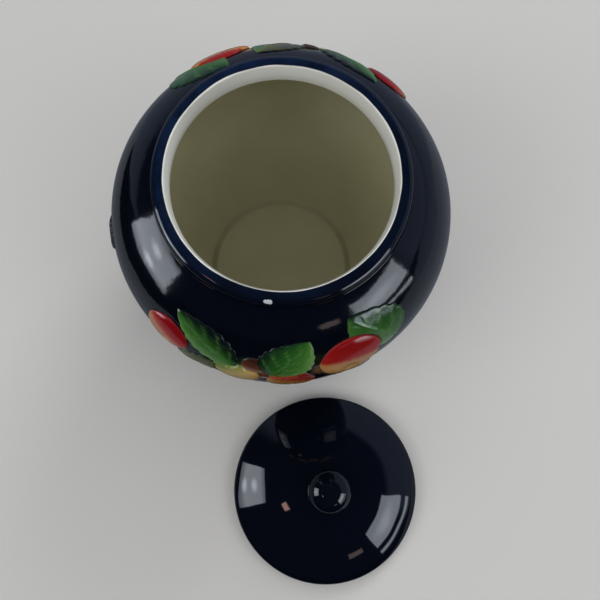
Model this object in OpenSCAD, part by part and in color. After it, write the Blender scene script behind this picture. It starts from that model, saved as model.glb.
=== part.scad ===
// Biscuit jar of glazed earthenware: a broad-shouldered jar, its domed lid with a ball knob, and
// pressed fruit and leaf sprigs that are slipped onto the front and the back of the wall.
// Millimetres, +Z up. The origin is the centre of the foot ring, on the surface the jar stands on.
// The front garland faces -Y. The lid lies on the same surface in front of the jar.

/* [Jar body] */
// Radius of the belly at its widest
belly_r = 100.8; // [90:0.1:115]
// Height of the widest ring above the surface
belly_z = 137.5; // [125:0.5:150]
// Radius of the arc that the shoulder follows, in profile
shoulder_arc = 70; // [64:0.5:74]
// Thickness of the body wall
body_wall = 7; // [5:0.5:9]
// Height of the inside floor above the surface
floor_top = 8; // [6:0.5:12]
// Radius of the cove between the inside floor and the wall
cove_r = 6; // [3:0.5:10]

/* [Mouth and rim] */
// Inner radius of the mouth
mouth_r = 60; // [54:0.5:63]
// Radius of the rolled rim's section
rim_roll = 4.5; // [3.5:0.1:5.5]
// Height of the middle of the rolled rim above the shoulder's surface
rim_rise = 0.35; // [0:0.05:3]
// Depth of the mouth's wall below the middle of the rolled rim
neck_h = 9; // [5:0.5:12]
// Radius of the round along the lower edge of the mouth's wall
neck_round = 1.5; // [0.5:0.1:2.5]
// How far the mouth widens on its way over the rim, on the radius
mouth_flare = 2; // [1:0.1:3]

/* [Foot] */
// Outer radius of the foot
foot_r = 58; // [50:0.5:66]
// Height of the upright foot below the flank
foot_h = 4; // [2:0.5:6]
// Width of the flat ring that the jar stands on
foot_land = 7; // [5:0.5:10]
// Depth of the hollow inside the foot ring
foot_hollow = 2.5; // [1:0.5:3.5]
// Bevel on the edges of the foot ring
foot_bevel = 1; // [0.5:0.1:1.5]

/* [Lid] */
// How far the lid reaches past the mouth, on the radius
lid_lap = 6; // [5:0.5:8]
// Radius of the lid's dome, in profile
dome_arc = 95; // [85:1:120]
// Radius of the round along the lid's edge
lip_r = 2.2; // [1.5:0.1:3]
// Thickness of the dome
lid_wall = 5.5; // [4:0.5:7]
// Depth of the flange that drops into the mouth
flange_h = 8.5; // [6:0.5:12]
// Thickness of the flange
flange_wall = 5; // [4:0.5:7]
// Play between the flange and the mouth, on the radius
flange_play = 1.2; // [0.8:0.1:2]
// Space between the lid's edge and the belly, where the lid lies beside the jar
lid_gap = 3.4; // [3:0.1:20]
// Bearing of the lid from the jar, from the front towards the right
lid_bearing = 11.07; // [-30:0.01:30]

/* [Knob] */
// Radius of the knob's ball
knob_r = 14.7; // [12:0.1:17]
// Radius of the knob's stem
stem_r = 8; // [6:0.5:10]
// Height of the stem, from the dome to the ball's centre
stem_h = 17.5; // [16:0.5:22]
// Radius of the fillet that spreads the stem onto the dome
stem_fillet = 3; // [1:0.5:4]

/* [Sprigs] */
// Layer of slip between a luted piece and its seat
slip = 0.05; // [0.02:0.01:0.2]
// Joint line between two neighbouring sprigs
joint_line = 0.2; // [0.1:0.05:0.4]
// Thickness of a leaf
leaf_t = 1.2; // [0.8:0.1:2]
// Height of a leaf's midrib above its blade
rib_t = 0.5; // [0.3:0.1:1]
// Width of a leaf's midrib
rib_w = 1.8; // [1:0.1:3]
// Depth of the teeth along a leaf's edge
tooth = 1.1; // [0.5:0.1:1.5]
// How far an apple stands proud of the wall
apple_proud = 2.6; // [1.5:0.1:4]
// How far the pears, peaches and plums stand proud of the wall
small_proud = 2; // [1.2:0.1:3]
// How much higher the back garland sits than the front one
back_lift = 9; // [0:0.5:10]

/* [Fruit places] */
// Bearing of the left apple
apple_left_az = -40.5; // [-46:0.5:-36]
// Height of the left apple's centre above the widest ring
apple_left_rise = 20; // [14:0.5:30]
// Radius of the left apple
apple_left_r = 14.5; // [13:0.5:18]
// Bearing of the right apple
apple_right_az = 23.5; // [20:0.5:28]
// Height of the right apple's centre above the widest ring
apple_right_rise = 22.5; // [18:0.5:30]
// Radius of the right apple
apple_right_r = 18.5; // [16:0.5:21]
// Bearing of the pear
pear_az = -14.5; // [-18:0.5:-11]
// Height of the pear's body above the widest ring
pear_rise = 11.5; // [6:0.5:16]
// Radius of the pear's body
pear_r = 13; // [11:0.5:15]
// Radius of the pear's neck
pear_neck_r = 8; // [6:0.5:10]
// Turn of the pear's neck, from straight up towards the left
pear_turn = 35; // [20:1:50]
// Distance from the pear's body to the middle of its neck
pear_neck = 12; // [10:0.5:14]
// Bearing of the peach
peach_az = 3; // [0:0.5:6]
// Height of the peach's centre above the widest ring
peach_rise = 6.5; // [2:0.5:12]
// Radius of the peach
peach_r = 14; // [12:0.5:16]
// Bearing of the plum
plum_az = -8.5; // [-10:0.5:-7]
// Height of the plum's centre above the widest ring
plum_rise = 26; // [22:0.5:31]
// Radius of the plum
plum_r = 8; // [6:0.5:9]

/* [Leaf places] */
// Bearing of the left leaf's middle
leaf_left_az = -26.5; // [-30:0.5:-23]
// Height of the left leaf's middle above the widest ring
leaf_left_rise = 33.5; // [31:0.5:40]
// Turn of the left leaf's tip, from straight up towards the left
leaf_left_turn = 58; // [45:1:70]
// Length of the left leaf
leaf_left_len = 46; // [38:0.5:50]
// Width of the left leaf
leaf_left_wid = 26; // [20:0.5:30]
// Bearing of the middle leaf's middle
leaf_mid_az = 2.5; // [0:0.5:4]
// Height of the middle leaf's middle above the widest ring
leaf_mid_rise = 31; // [27:0.5:35]
// Turn of the middle leaf's tip, from straight up towards the left
leaf_mid_turn = -36; // [-50:1:-20]
// Length of the middle leaf
leaf_mid_len = 38; // [32:0.5:44]
// Width of the middle leaf
leaf_mid_wid = 32; // [26:0.5:36]
// Bearing of the right leaf's middle
leaf_right_az = 34; // [31:0.5:38]
// Height of the right leaf's middle above the widest ring
leaf_right_rise = 35; // [31:0.5:38]
// Turn of the right leaf's tip, from straight up towards the left
leaf_right_turn = 34; // [20:1:45]
// Length of the right leaf
leaf_right_len = 44; // [40:0.5:52]
// Width of the right leaf
leaf_right_wid = 36; // [30:0.5:40]
// Bearing of the left hanging leaf's middle
leaf_low_left_az = -29; // [-34:0.5:-26]
// Bearing of the right hanging leaf's middle
leaf_low_right_az = 23; // [20:0.5:28]
// Height of the middle of the two hanging leaves above the widest ring
leaf_low_rise = 3; // [-4:0.5:6]
// Turn of the hanging leaves' tips, from straight up
leaf_low_turn = 128; // [115:1:140]
// Length of the two hanging leaves
leaf_low_len = 38; // [32:0.5:44]
// Width of the two hanging leaves
leaf_low_wid = 20; // [16:0.5:24]
// Bearing of the side leaf's middle
leaf_side_az = -81.5; // [-92:0.5:-72]
// Height of the side leaf's middle above the widest ring
leaf_side_rise = 9.5; // [-6:0.5:20]
// Turn of the side leaf's tip, from straight up towards the left
leaf_side_turn = 80; // [60:1:100]
// Length of the side leaf
leaf_side_len = 20; // [16:0.5:26]
// Width of the side leaf
leaf_side_wid = 12; // [9:0.5:15]

/* [Hidden] */

$fn = 240;
BIG = 400;

cobalt = [0.03, 0.05, 0.12];
red_glaze = [0.55, 0.06, 0.05];
yellow_glaze = [0.80, 0.60, 0.25];
plum_glaze = [0.45, 0.16, 0.08];
green_glaze = [0.14, 0.34, 0.12];
dark_green_glaze = [0.05, 0.15, 0.08];

// The flank below the widest ring is one arc that ends on top of the foot.
flank_arc = (pow(belly_r - foot_r, 2) + pow(belly_z - foot_h, 2)) / (2 * (belly_r - foot_r));
shoulder_x = belly_r - shoulder_arc;
flank_x = belly_r - flank_arc;
rim_x = mouth_r + rim_roll;
rim_z = belly_z + sqrt(pow(shoulder_arc, 2) - pow(rim_x - shoulder_x, 2)) + rim_rise;
neck_z = rim_z - neck_h;
flare_z = rim_z - rim_roll / 2;
// Columns that shape and trim the sprigs are long enough to pass through them.
column_h = shoulder_arc;
// What a garland's sprigs are lifted by: nothing on the front
$lift = 0;

// The cove touches the floor and the inside of the flank.
flank_in = flank_arc - body_wall;
cove_z = floor_top + cove_r;
cove_x = flank_x + sqrt(pow(flank_in - cove_r, 2) - pow(belly_z - cove_z, 2));
cove_touch = [flank_x + (cove_x - flank_x) * flank_in / (flank_in - cove_r),
    belly_z + (cove_z - belly_z) * flank_in / (flank_in - cove_r)];

// The lid: heights are above the surface that its flange stands on.
flange_r = mouth_r - flange_play;
lid_r = mouth_r + lid_lap;
lip_x = lid_r - lip_r;
lip_z = flange_h + lip_r;
dome_z = lip_z - sqrt(pow(dome_arc - lip_r, 2) - pow(lip_x, 2));
dome_top = dome_z + dome_arc;
knob_z = dome_top + stem_h;
lid_far = belly_r + lid_gap + lid_r;
lid_x = lid_far * sin(lid_bearing);
lid_y = -lid_far * cos(lid_bearing);

// Lean of the wall's normal, and the wall's radius, at a rise above the widest ring
function wall_arc(rise) = rise > 0 ? shoulder_arc : flank_arc;
function wall_lean(rise) = asin(rise / wall_arc(rise));
function wall_radius(rise) = belly_r - wall_arc(rise) * (1 - cos(wall_lean(rise)));

// ---- jar body ----

// Area inside the body's outer profile, thickened outwards by grow
module profile_area(grow) {
    intersection() {
        translate([shoulder_x, belly_z]) circle(shoulder_arc + grow);
        translate([shoulder_x, belly_z]) square([BIG, BIG]);
    }
    translate([0, belly_z]) square([shoulder_x, shoulder_arc + grow]);
    intersection() {
        translate([flank_x, belly_z]) circle(flank_arc + grow, $fn = 360);
        translate([0, foot_h]) square([BIG, belly_z - foot_h]);
    }
}

module foot_area() {
    polygon([[0, foot_hollow], [foot_r - foot_land - foot_bevel, foot_hollow],
        [foot_r - foot_land, 0], [foot_r - foot_bevel, 0],
        [foot_r, foot_bevel], [foot_r, foot_h], [0, foot_h]]);
}

module cavity_area() {
    difference() {
        union() {
            intersection() {
                translate([shoulder_x, belly_z]) circle(shoulder_arc - body_wall);
                translate([shoulder_x, belly_z]) square([BIG, neck_z - belly_z]);
            }
            intersection() {
                translate([flank_x, belly_z]) circle(flank_in, $fn = 360);
                translate([0, floor_top]) square([BIG, belly_z - floor_top]);
            }
            translate([0, belly_z]) square([mouth_r, BIG]);
            difference() {
                translate([mouth_r - neck_round, neck_z - neck_round]) square(2 * neck_round);
                translate([mouth_r + neck_round, neck_z + neck_round]) circle(neck_round);
            }
        }
        difference() {
            polygon([[cove_x, floor_top - cove_r], [cove_x + 4 * cove_r, floor_top - cove_r],
                cove_touch, [cove_x, cove_z]]);
            translate([cove_x, cove_z]) circle(cove_r);
        }
    }
}

module flare_area() {
    polygon([[0, flare_z], [mouth_r, flare_z], [mouth_r + mouth_flare, rim_z + rim_roll],
        [0, rim_z + rim_roll]]);
}

module jar_body() {
    color(cobalt) rotate_extrude() difference() {
        union() {
            difference() {
                union() {
                    intersection() {
                        profile_area(0);
                        square([BIG, rim_z]);
                    }
                    foot_area();
                }
                cavity_area();
            }
            translate([rim_x, rim_z]) circle(rim_roll);
        }
        flare_area();
    }
}

// ---- lid ----

module lid_area() {
    reach = lid_r;
    difference() {
        union() {
            intersection() {
                translate([0, dome_z]) circle(dome_arc);
                polygon([[0, flange_h], [lip_x, flange_h], [lip_x, lip_z],
                    [lip_x + reach * lip_x / dome_arc, lip_z + reach * (lip_z - dome_z) / dome_arc],
                    [0, lip_z + 2 * reach]]);
            }
            translate([lip_x, lip_z]) circle(lip_r);
            square([flange_r, flange_h]);
        }
        intersection() {
            translate([0, dome_z]) circle(dome_arc - lid_wall);
            translate([0, -1]) square([flange_r - flange_wall, BIG]);
        }
    }
}

module at_lid() {
    translate([lid_x, lid_y, 0]) children();
}

module lid() {
    color(cobalt) at_lid() rotate_extrude() intersection() {
        lid_area();
        square(BIG);
    }
}

// Ball, stem and the fillet that spreads the stem, cut to sit on the dome
module lid_knob() {
    color(cobalt) at_lid() difference() {
        union() {
            translate([0, 0, knob_z]) sphere(knob_r);
            translate([0, 0, dome_top - stem_fillet]) cylinder(h = stem_h + stem_fillet, r = stem_r);
            rotate_extrude() difference() {
                translate([0, dome_top - stem_fillet]) square([stem_r + stem_fillet, 2 * stem_fillet]);
                translate([stem_r + stem_fillet, dome_top + stem_fillet]) circle(stem_fillet);
            }
        }
        translate([0, 0, dome_z]) sphere(dome_arc + slip);
    }
}

// ---- sprigs ----

// Stands children on the wall, x to the right, y up the wall, z out of it
module on_wall(az, rise, turn = 0) {
    up = rise + $lift;
    rotate([0, 0, az]) translate([0, -wall_radius(up), belly_z + up])
        rotate([90 - wall_lean(up), 0, 0]) rotate([0, 0, turn]) children();
}

// The solid inside the wall below the rim, thickened by grow
module wall_solid(grow) {
    rotate_extrude() intersection() {
        profile_area(grow);
        translate([0, foot_h]) square([BIG, rim_z - foot_h]);
    }
}

// What a sprig sits on: the wall and the rim's roll, with a layer of slip
module seat_solid() {
    wall_solid(slip);
    rotate_extrude() translate([rim_x, rim_z]) circle(rim_roll + slip);
}

// Leaf blade along +y, its stem at the origin's side, with teeth along both edges
teeth = 7;
function blade_half(s) = pow(sin(180 * pow(s, 0.8)), 0.75);
function blade_edge(len, wid, side) = [for (i = [1:2 * teeth - 1])
    let (s = i / (2 * teeth), bite = i % 2 == 0 ? tooth : 0)
    [side * (wid / 2 * blade_half(s) - bite * blade_half(s)), len * (s - 0.5)]];

module blade_area(len, wid) {
    right = blade_edge(len, wid, 1);
    left = blade_edge(len, wid, -1);
    polygon(concat([[0, -len / 2]], right, [[0, len / 2]],
        [for (i = [len(left) - 1:-1:0]) left[i]]));
}

module leaf_column(len, wid, grow) {
    linear_extrude(height = column_h, center = true) blade_area(len + 2 * grow, wid + 2 * grow);
}

module rib_column(len) {
    linear_extrude(height = column_h, center = true)
        polygon([[-rib_w / 2, -len / 2 + tooth], [rib_w / 2, -len / 2 + tooth],
            [rib_w / 5, len / 2 - 3 * tooth], [-rib_w / 5, len / 2 - 3 * tooth]]);
}

// Fruit: half an ellipse that stands proud of the wall and dips to meet the wall at its edge
module fruit_dome(r, proud) {
    dip = r * r / (2 * shoulder_arc);
    rotate_extrude() polygon(concat([[0, -3 * dip - proud], [r, -3 * dip - proud]],
        [for (a = [0:7.5:90]) [r * cos(a), -dip + (proud + dip) * sin(a)]]));
}

module fruit_column(r, grow) {
    cylinder(h = column_h, r = r + grow, center = true);
}

// Places of the sprigs in one garland
module at_apple_left() { on_wall(apple_left_az, apple_left_rise) children(); }
module at_apple_right() { on_wall(apple_right_az, apple_right_rise) children(); }
module at_pear() { on_wall(pear_az, pear_rise, pear_turn) children(); }
module at_peach() { on_wall(peach_az, peach_rise) children(); }
module at_plum() { on_wall(plum_az, plum_rise) children(); }
module at_leaf_left() { on_wall(leaf_left_az, leaf_left_rise, leaf_left_turn) children(); }
module at_leaf_mid() { on_wall(leaf_mid_az, leaf_mid_rise, leaf_mid_turn) children(); }
module at_leaf_right() { on_wall(leaf_right_az, leaf_right_rise, leaf_right_turn) children(); }

// Columns that trim what lies under a sprig, with a joint line around it
module trim_apple_left() { at_apple_left() fruit_column(apple_left_r, joint_line); }
module trim_apple_right() { at_apple_right() fruit_column(apple_right_r, joint_line); }
module trim_peach() { at_peach() fruit_column(peach_r, joint_line); }
module trim_plum() { at_plum() fruit_column(plum_r, joint_line); }
module trim_pear() {
    at_pear() {
        fruit_column(pear_r, joint_line);
        translate([0, pear_neck, 0]) fruit_column(pear_neck_r, joint_line);
    }
}
module trim_leaf_left() { at_leaf_left() leaf_column(leaf_left_len, leaf_left_wid, joint_line); }
module trim_leaf_mid() { at_leaf_mid() leaf_column(leaf_mid_len, leaf_mid_wid, joint_line); }
module trim_leaf_right() { at_leaf_right() leaf_column(leaf_right_len, leaf_right_wid, joint_line); }

// A leaf follows the wall: its blade and its midrib are layers on the wall's own surface
module leaf_sprig(az, rise, turn, len, wid) {
    difference() {
        union() {
            intersection() {
                on_wall(az, rise, turn) leaf_column(len, wid, 0);
                wall_solid(leaf_t);
            }
            intersection() {
                on_wall(az, rise, turn) rib_column(len);
                wall_solid(leaf_t + rib_t);
            }
        }
        seat_solid();
    }
}

// A fruit is a low dome that is hollowed to the wall behind it
module fruit_sprig(az, rise, r, proud) {
    difference() {
        on_wall(az, rise) fruit_dome(r, proud);
        seat_solid();
    }
}

module apple_right() {
    fruit_sprig(apple_right_az, apple_right_rise, apple_right_r, apple_proud);
}

module leaf_middle() {
    difference() {
        leaf_sprig(leaf_mid_az, leaf_mid_rise, leaf_mid_turn, leaf_mid_len, leaf_mid_wid);
        trim_apple_right();
    }
}

module leaf_left() {
    difference() {
        leaf_sprig(leaf_left_az, leaf_left_rise, leaf_left_turn, leaf_left_len, leaf_left_wid);
        trim_leaf_mid();
    }
}

module leaf_right() {
    difference() {
        leaf_sprig(leaf_right_az, leaf_right_rise, leaf_right_turn, leaf_right_len, leaf_right_wid);
        trim_apple_right();
        trim_leaf_mid();
    }
}

module plum() {
    difference() {
        fruit_sprig(plum_az, plum_rise, plum_r, small_proud);
        trim_leaf_mid();
        trim_leaf_left();
    }
}

module pear() {
    difference() {
        union() {
            fruit_sprig(pear_az, pear_rise, pear_r, small_proud);
            difference() {
                at_pear() translate([0, pear_neck, 0]) fruit_dome(pear_neck_r, small_proud - slip);
                seat_solid();
            }
        }
        trim_leaf_mid();
        trim_leaf_left();
        trim_plum();
    }
}

module peach() {
    difference() {
        fruit_sprig(peach_az, peach_rise, peach_r, small_proud);
        trim_leaf_mid();
        trim_apple_right();
        trim_plum();
        trim_pear();
    }
}

module apple_left() {
    difference() {
        fruit_sprig(apple_left_az, apple_left_rise, apple_left_r, apple_proud);
        trim_leaf_left();
        trim_pear();
    }
}

module leaf_low_left() {
    difference() {
        leaf_sprig(leaf_low_left_az, leaf_low_rise, leaf_low_turn, leaf_low_len, leaf_low_wid);
        trim_apple_left();
        trim_leaf_left();
        trim_pear();
    }
}

module leaf_low_right() {
    difference() {
        leaf_sprig(leaf_low_right_az, leaf_low_rise, -leaf_low_turn, leaf_low_len, leaf_low_wid);
        trim_apple_right();
        trim_peach();
        trim_leaf_mid();
        trim_leaf_right();
    }
}

module to_back() {
    $lift = back_lift;
    rotate([0, 0, 180]) children();
}

module front_apple_left() { color(red_glaze) apple_left(); }
module front_apple_right() { color(red_glaze) apple_right(); }
module front_pear() { color(yellow_glaze) pear(); }
module front_peach() { color(yellow_glaze) peach(); }
module front_plum() { color(plum_glaze) plum(); }
module front_leaf_left() { color(green_glaze) leaf_left(); }
module front_leaf_middle() { color(green_glaze) leaf_middle(); }
module front_leaf_right() { color(green_glaze) leaf_right(); }
module front_leaf_low_left() { color(dark_green_glaze) leaf_low_left(); }
module front_leaf_low_right() { color(dark_green_glaze) leaf_low_right(); }
module back_apple_left() { color(red_glaze) to_back() apple_left(); }
module back_apple_right() { color(red_glaze) to_back() apple_right(); }
module back_pear() { color(yellow_glaze) to_back() pear(); }
module back_peach() { color(yellow_glaze) to_back() peach(); }
module back_plum() { color(plum_glaze) to_back() plum(); }
module back_leaf_left() { color(green_glaze) to_back() leaf_left(); }
module back_leaf_middle() { color(green_glaze) to_back() leaf_middle(); }
module back_leaf_right() { color(green_glaze) to_back() leaf_right(); }
module back_leaf_low_left() { color(dark_green_glaze) to_back() leaf_low_left(); }
module back_leaf_low_right() { color(dark_green_glaze) to_back() leaf_low_right(); }

module side_leaf() {
    color(dark_green_glaze)
        leaf_sprig(leaf_side_az, leaf_side_rise, leaf_side_turn, leaf_side_len, leaf_side_wid);
}

jar_body();
lid();
lid_knob();
front_apple_left();
front_apple_right();
front_pear();
front_peach();
front_plum();
front_leaf_left();
front_leaf_middle();
front_leaf_right();
front_leaf_low_left();
front_leaf_low_right();
back_apple_left();
back_apple_right();
back_pear();
back_peach();
back_plum();
back_leaf_left();
back_leaf_middle();
back_leaf_right();
back_leaf_low_left();
back_leaf_low_right();
side_leaf();
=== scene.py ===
"""A biscuit jar of glazed earthenware with its lid taken off, standing on a pale table.

Metres in the scene and millimetres in the size fields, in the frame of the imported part: +Z up,
the foot ring's centre at the origin, the front garland facing -Y.
"""

from __future__ import annotations

import logging
import math
from dataclasses import dataclass, field, replace
from enum import Enum
from typing import Callable, Mapping, Sequence

import bpy
import numpy as np
from mathutils import Matrix, Vector, kdtree

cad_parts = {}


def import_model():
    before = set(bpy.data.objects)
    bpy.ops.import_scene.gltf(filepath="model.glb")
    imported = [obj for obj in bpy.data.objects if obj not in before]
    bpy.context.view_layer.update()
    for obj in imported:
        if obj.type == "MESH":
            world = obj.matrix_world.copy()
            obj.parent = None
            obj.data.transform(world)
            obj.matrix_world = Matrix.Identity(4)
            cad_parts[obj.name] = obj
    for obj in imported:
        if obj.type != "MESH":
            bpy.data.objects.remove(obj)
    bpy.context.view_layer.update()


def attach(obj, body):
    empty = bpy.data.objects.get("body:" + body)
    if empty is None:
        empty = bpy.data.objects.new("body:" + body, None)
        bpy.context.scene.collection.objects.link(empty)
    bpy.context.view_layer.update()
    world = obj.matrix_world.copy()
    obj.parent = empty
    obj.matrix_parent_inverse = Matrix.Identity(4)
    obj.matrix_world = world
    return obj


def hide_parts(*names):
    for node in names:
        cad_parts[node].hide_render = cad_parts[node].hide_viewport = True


LOG = logging.getLogger("biscuit_jar")
MM = 0.001
WELD = 2e-6  # m, vertices nearer than this are one
GLAZE_IOR = 1.5
GLAZE_FILL = 0.96  # share of a sprig's relief that still shows under the glaze
BORDER = 0.9  # mm that the paint's dark border keeps on beside a sprig that lies over it
TUCK = 0.5  # mm that a sprig dips under one that lies over it
BEDDING = 0.6  # mm that a sprig's back lies inside the wall
BLEND = {"out": 2, "data_type": "RGBA"}  # a Mix node that blends input 6 into input 7
SOFTLY = {"interpolation_type": "SMOOTHSTEP"}  # a MapRange node that starts and ends softly
Point = tuple[float, float]
Tree = bpy.types.NodeTree
Socket = bpy.types.NodeSocket
Material = bpy.types.Material
Piece = bpy.types.Object


class Side(Enum):
    """The two sides of the jar that carry a garland: turn about the axis, degrees, and lift, mm."""

    FRONT = (0.0, 0.0)
    BACK = (180.0, 9.0)


# ---- small helpers -------------------------------------------------------------------------


def linear(hex_colour: str) -> tuple[float, float, float, float]:
    """Turn an sRGB hex colour to linear.

    Args:
        hex_colour: six hex digits, such as "8E1512".

    Returns:
        Linear red, green, blue and an alpha of 1.
    """
    parts = [int(hex_colour[i : i + 2], 16) / 255 for i in (0, 2, 4)]
    red, green, blue = (
        v / 12.92 if v <= 0.04045 else ((v + 0.055) / 1.055) ** 2.4 for v in parts
    )
    return red, green, blue, 1.0


def add_node(
    tree: Tree,
    kind: str,
    inputs: Sequence[object] | Mapping[str | int, object] = (),
    out: str | int = 0,
    **settings: object,
) -> Socket | None:
    """Add one node to a tree with its settings and its links.

    Args:
        tree: the node tree of a material, a lamp or the world.
        kind: the node's type name without its first word, ShaderNode.
        inputs: a value or an output socket to link for each input, in order or by name or place.
        out: name or place of the output to hand back.
        **settings: properties of the node itself.

    Returns:
        The output socket, or nothing for a node without outputs.
    """
    made = tree.nodes.new(f"ShaderNode{kind}")
    for name, value in settings.items():
        setattr(made, name, value)
    slots = inputs.items() if isinstance(inputs, Mapping) else enumerate(inputs)
    for name, value in slots:
        if isinstance(value, Socket):
            tree.links.new(value, made.inputs[name])
        else:
            made.inputs[name].default_value = value
    return made.outputs[out] if made.outputs else None


def new_material(name: str) -> tuple[Material, Tree]:
    """Make an empty node material.

    Args:
        name: the material's name.

    Returns:
        The material and its node tree.
    """
    material = bpy.data.materials.new(name)
    material.use_nodes = True
    material.node_tree.nodes.clear()
    return material, material.node_tree


def set_ramp(ramp: bpy.types.Node, stops: Sequence[tuple[float, str]]) -> None:
    """Give a colour ramp its stops.

    Args:
        ramp: the colour ramp node.
        stops: place and sRGB hex colour of each stop, in order.
    """
    elements = ramp.color_ramp.elements
    while len(elements) < len(stops):
        elements.new(0.5)
    for element, (place, colour) in zip(elements, stops):
        element.position = place
        element.color = linear(colour)


def smooth(low: float, high: float, value: np.ndarray) -> np.ndarray:
    """Rise softly from 0 at low to 1 at high.

    Args:
        low: where the rise starts.
        high: where it ends.
        value: the values to map.

    Returns:
        Values from 0 to 1.
    """
    t = np.clip((value - low) / (high - low), 0.0, 1.0)
    return t * t * (3 - 2 * t)


def arc(centre: Point, radius: float, start: float, end: float, count: int) -> list[Point]:
    """Points along an arc in profile.

    Args:
        centre: radius and height of the arc's centre, mm.
        radius: the arc's radius, mm.
        start: angle of the first point, degrees from straight out towards up.
        end: angle of the last point.
        count: number of steps along the arc.

    Returns:
        count + 1 points as (radius, height), mm.
    """
    angles = (math.radians(start + (end - start) * i / count) for i in range(count + 1))
    return [(centre[0] + radius * math.cos(a), centre[1] + radius * math.sin(a)) for a in angles]


def bearing(centre: Point, point: Point) -> float:
    """Angle of a profile point seen from a centre, in degrees."""
    return math.degrees(math.atan2(point[1] - centre[1], point[0] - centre[0]))


def spin_profile(name: str, profile: Sequence[Point], steps: int, at: Point = (0, 0)) -> Piece:
    """Turn a closed piece on the wheel: draw its profile as an edge chain and spin it about Z.

    Args:
        name: the new object's name.
        profile: (radius, height) points in mm, from the axis round the outside back to the axis.
        steps: number of steps around.
        at: where the axis stands, mm.

    Returns:
        The closed solid, its object at the origin.
    """
    bpy.ops.object.select_all(action="DESELECT")
    bpy.ops.mesh.primitive_plane_add(size=MM, location=(0, 0, 0))
    piece = bpy.context.object
    piece.name = name
    bpy.ops.object.mode_set(mode="EDIT")
    bpy.ops.mesh.select_all(action="SELECT")
    bpy.ops.mesh.merge(type="CENTER")
    bpy.ops.transform.translate(value=(profile[0][0] * MM, 0, profile[0][1] * MM))
    for before, after in zip(profile, profile[1:]):
        step = ((after[0] - before[0]) * MM, 0, (after[1] - before[1]) * MM)
        bpy.ops.mesh.extrude_region_move(TRANSFORM_OT_translate={"value": step})
    bpy.ops.mesh.select_all(action="SELECT")
    bpy.ops.mesh.spin(steps=steps, angle=2 * math.pi, center=(0, 0, 0), axis=(0, 0, 1))
    bpy.ops.mesh.select_all(action="SELECT")
    bpy.ops.mesh.remove_doubles(threshold=WELD)
    bpy.ops.mesh.normals_make_consistent(inside=False)
    bpy.ops.transform.translate(value=(at[0] * MM, at[1] * MM, 0))
    bpy.ops.object.mode_set(mode="OBJECT")
    return piece


def mark_along(piece: Piece, profile: Sequence[Point], zero: int, at: Point = (0, 0)) -> None:
    """Store on every vertex how far along the profile it lies, as the attribute "along".

    Args:
        piece: a spun piece.
        profile: its profile in mm.
        zero: index of the profile point that counts as 0.
        at: where the piece's axis stands, mm.
    """
    lengths = np.concatenate([[0], np.cumsum(np.hypot(*np.diff(np.array(profile), axis=0).T))])
    tree = kdtree.KDTree(len(profile))
    for index, (radius, height) in enumerate(profile):
        tree.insert((radius, 0, height), index)
    tree.balance()
    mesh = piece.data
    layer = mesh.attributes.new("along", "FLOAT", "POINT")
    places = np.empty(len(mesh.vertices) * 3)
    mesh.vertices.foreach_get("co", places)
    places = places.reshape(-1, 3) / MM
    around = np.hypot(places[:, 0] - at[0], places[:, 1] - at[1])
    nearest = [tree.find((r, 0, z))[1] for r, z in zip(around, places[:, 2])]
    layer.data.foreach_set("value", (lengths[nearest] - lengths[zero]).astype(np.float32))


def dress(piece: Piece, material: Material, angle: float = 40) -> None:
    """Give a piece its finish and smooth shading.

    Args:
        piece: the piece.
        material: its material.
        angle: edges sharper than this many degrees stay crisp.
    """
    piece.data.materials.clear()
    piece.data.materials.append(material)
    bpy.ops.object.select_all(action="DESELECT")
    piece.select_set(True)
    bpy.context.view_layer.objects.active = piece
    bpy.ops.object.shade_smooth_by_angle(angle=math.radians(angle))


# ---- finishes ------------------------------------------------------------------------------


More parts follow.
